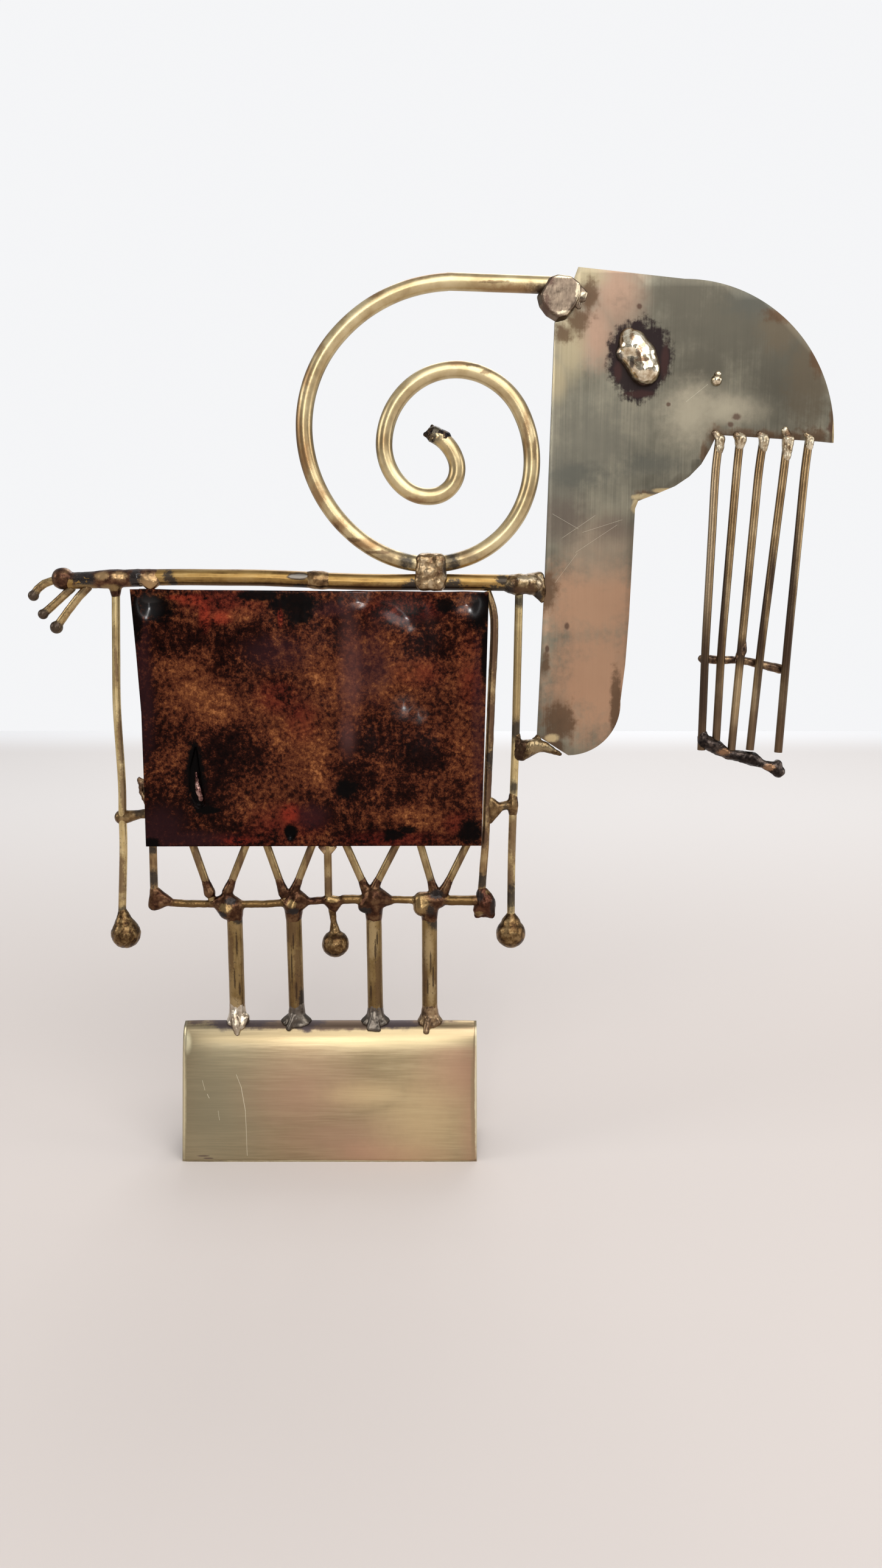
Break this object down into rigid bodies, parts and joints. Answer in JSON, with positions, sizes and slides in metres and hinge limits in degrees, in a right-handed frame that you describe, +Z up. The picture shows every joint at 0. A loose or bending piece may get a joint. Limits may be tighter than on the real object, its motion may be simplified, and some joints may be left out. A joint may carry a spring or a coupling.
{
  "type": "brutalist goat sculpture",
  "caption": "Flat standing goat brazed from brass rod and sheet, with a coiled horn, a comb-like beard, a dark copper-toned body plate and a folded sheet base.",
  "frame": {"origin": "on the table, under the middle of the whole sculpture's bounding box", "axes": "+Z up; the goat's profile lies in XZ and faces +X; its front, with the body plate, faces -Y"},
  "size_m": [0.1955, 0.0208, 0.2206],
  "materials": {
    "sheet_brass": "brushed and lightly tarnished, with pink and grey heat tint",
    "rod_brass": "aged olive brass, pitted and stained brown, blackened near the welds",
    "dark_rod": "heat-blackened brass",
    "filler": "glossy melted bronze filler, gold on its high spots and brown to black in its pits",
    "copper_plate": "copper plate with a dark maroon heat patina, mottled rust and gold, glossy"
  },
  "bodies": {
    "root": {"back_beam_front": "rod_brass", "back_beam_rear": "rod_brass", "base_sheet": "sheet_brass", "beard_bottom_bar": "filler", "beard_crossbar": "dark_rod", "beard_rod_1": "rod_brass", "beard_rod_2": "rod_brass", "beard_rod_3": "rod_brass", "beard_rod_4": "rod_brass", "beard_rod_5": "rod_brass", "body_plate": "copper_plate", "centre_drop": "filler", "centre_post": "rod_brass", "eye_bead": "filler", "frame_upright_front": "rod_brass", "frame_upright_rear": "rod_brass", "front_rod_link": "filler", "front_side_rod": "rod_brass", "head_plate": "sheet_brass", "horn": "rod_brass", "leg_1": "rod_brass", "leg_2": "rod_brass", "leg_3": "rod_brass", "leg_4": "rod_brass", "lower_rail": "rod_brass", "neck_foot_weld": "filler", "nostril_bead": "filler", "rail_end_nugget": "filler", "rear_rod_link": "filler", "rear_side_rod": "rod_brass", "tail_prong_1": "rod_brass", "tail_prong_2": "rod_brass", "tail_prong_3": "rod_brass", "zigzag_rod_1": "rod_brass", "zigzag_rod_2": "rod_brass", "zigzag_rod_3": "rod_brass", "zigzag_rod_4": "rod_brass", "zigzag_rod_5": "rod_brass", "zigzag_rod_6": "rod_brass", "zigzag_rod_7": "rod_brass", "zigzag_rod_8": "rod_brass"}
  },
  "joints": []
}
